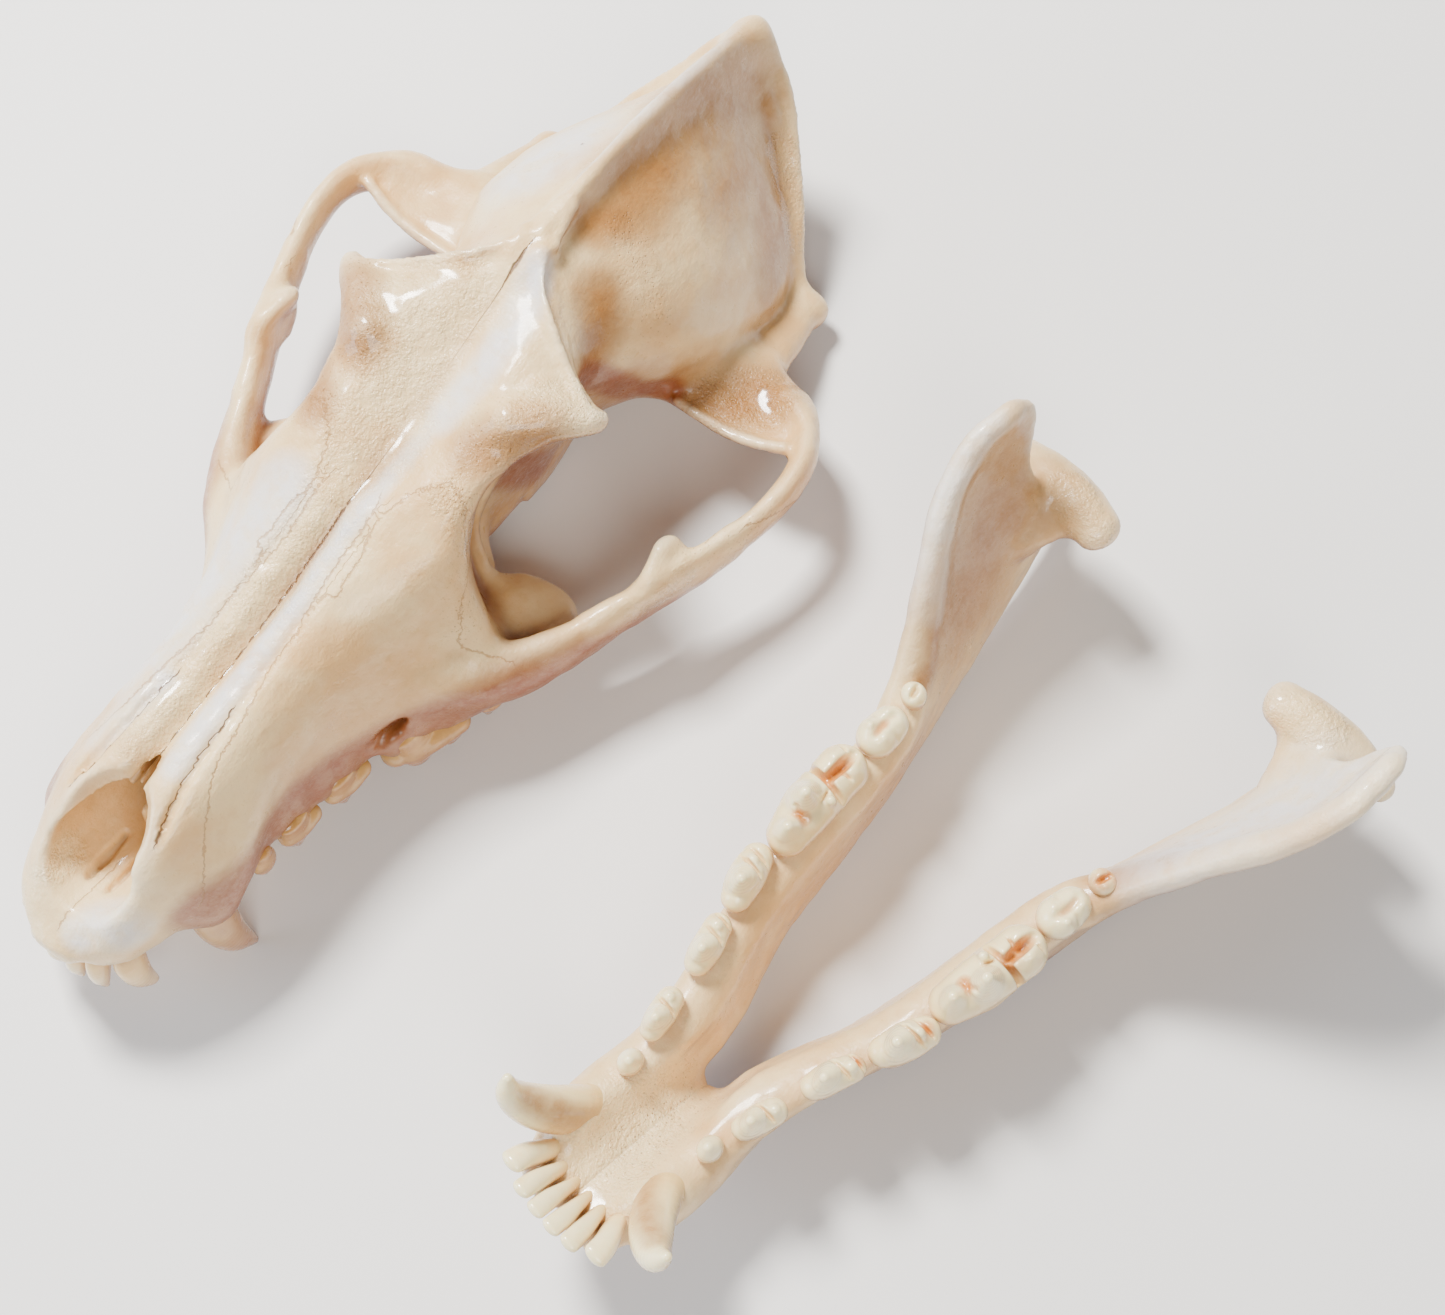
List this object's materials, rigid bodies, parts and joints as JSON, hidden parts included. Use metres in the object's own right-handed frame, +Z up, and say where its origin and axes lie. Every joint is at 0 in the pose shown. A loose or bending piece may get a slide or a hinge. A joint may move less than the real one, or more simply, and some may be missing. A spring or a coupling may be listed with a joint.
{
  "type": "coyote skull",
  "caption": "Dry coyote skull: the cranium with its upper teeth, and the lower jaw with its teeth lying beside it.",
  "frame": {"origin": "middle of the footprint of the cranium and lower jaw together, on the surface they lie on", "axes": "+Z up; the snouts point to -Y; +X is towards the animal's left, where the lower jaw lies"},
  "size_m": [0.2252, 0.2093, 0.0598],
  "materials": {
    "bone": "satin",
    "enamel": "gloss"
  },
  "bodies": {
    "root": {"cranium": "bone", "mandible_left": "bone", "mandible_right": "bone", "upper_incisor_1_left": "enamel", "upper_incisor_1_right": "enamel", "upper_incisor_2_left": "enamel", "upper_incisor_2_right": "enamel", "upper_incisor_3_left": "enamel", "upper_incisor_3_right": "enamel", "upper_canine_left": "enamel", "upper_canine_right": "enamel", "upper_premolar_1_left": "enamel", "upper_premolar_1_right": "enamel", "upper_premolar_2_left": "enamel", "upper_premolar_2_right": "enamel", "upper_premolar_3_left": "enamel", "upper_premolar_3_right": "enamel", "upper_premolar_4_left": "enamel", "upper_premolar_4_right": "enamel", "upper_molar_1_left": "enamel", "upper_molar_1_right": "enamel", "upper_molar_2_left": "enamel", "upper_molar_2_right": "enamel", "lower_incisor_1_left": "enamel", "lower_incisor_1_right": "enamel", "lower_incisor_2_left": "enamel", "lower_incisor_2_right": "enamel", "lower_incisor_3_left": "enamel", "lower_incisor_3_right": "enamel", "lower_canine_left": "enamel", "lower_canine_right": "enamel", "lower_premolar_1_left": "enamel", "lower_premolar_1_right": "enamel", "lower_premolar_2_left": "enamel", "lower_premolar_2_right": "enamel", "lower_premolar_3_left": "enamel", "lower_premolar_3_right": "enamel", "lower_premolar_4_left": "enamel", "lower_premolar_4_right": "enamel", "lower_molar_1_left": "enamel", "lower_molar_1_right": "enamel", "lower_molar_2_left": "enamel", "lower_molar_2_right": "enamel", "lower_molar_3_left": "enamel", "lower_molar_3_right": "enamel"}
  },
  "joints": []
}
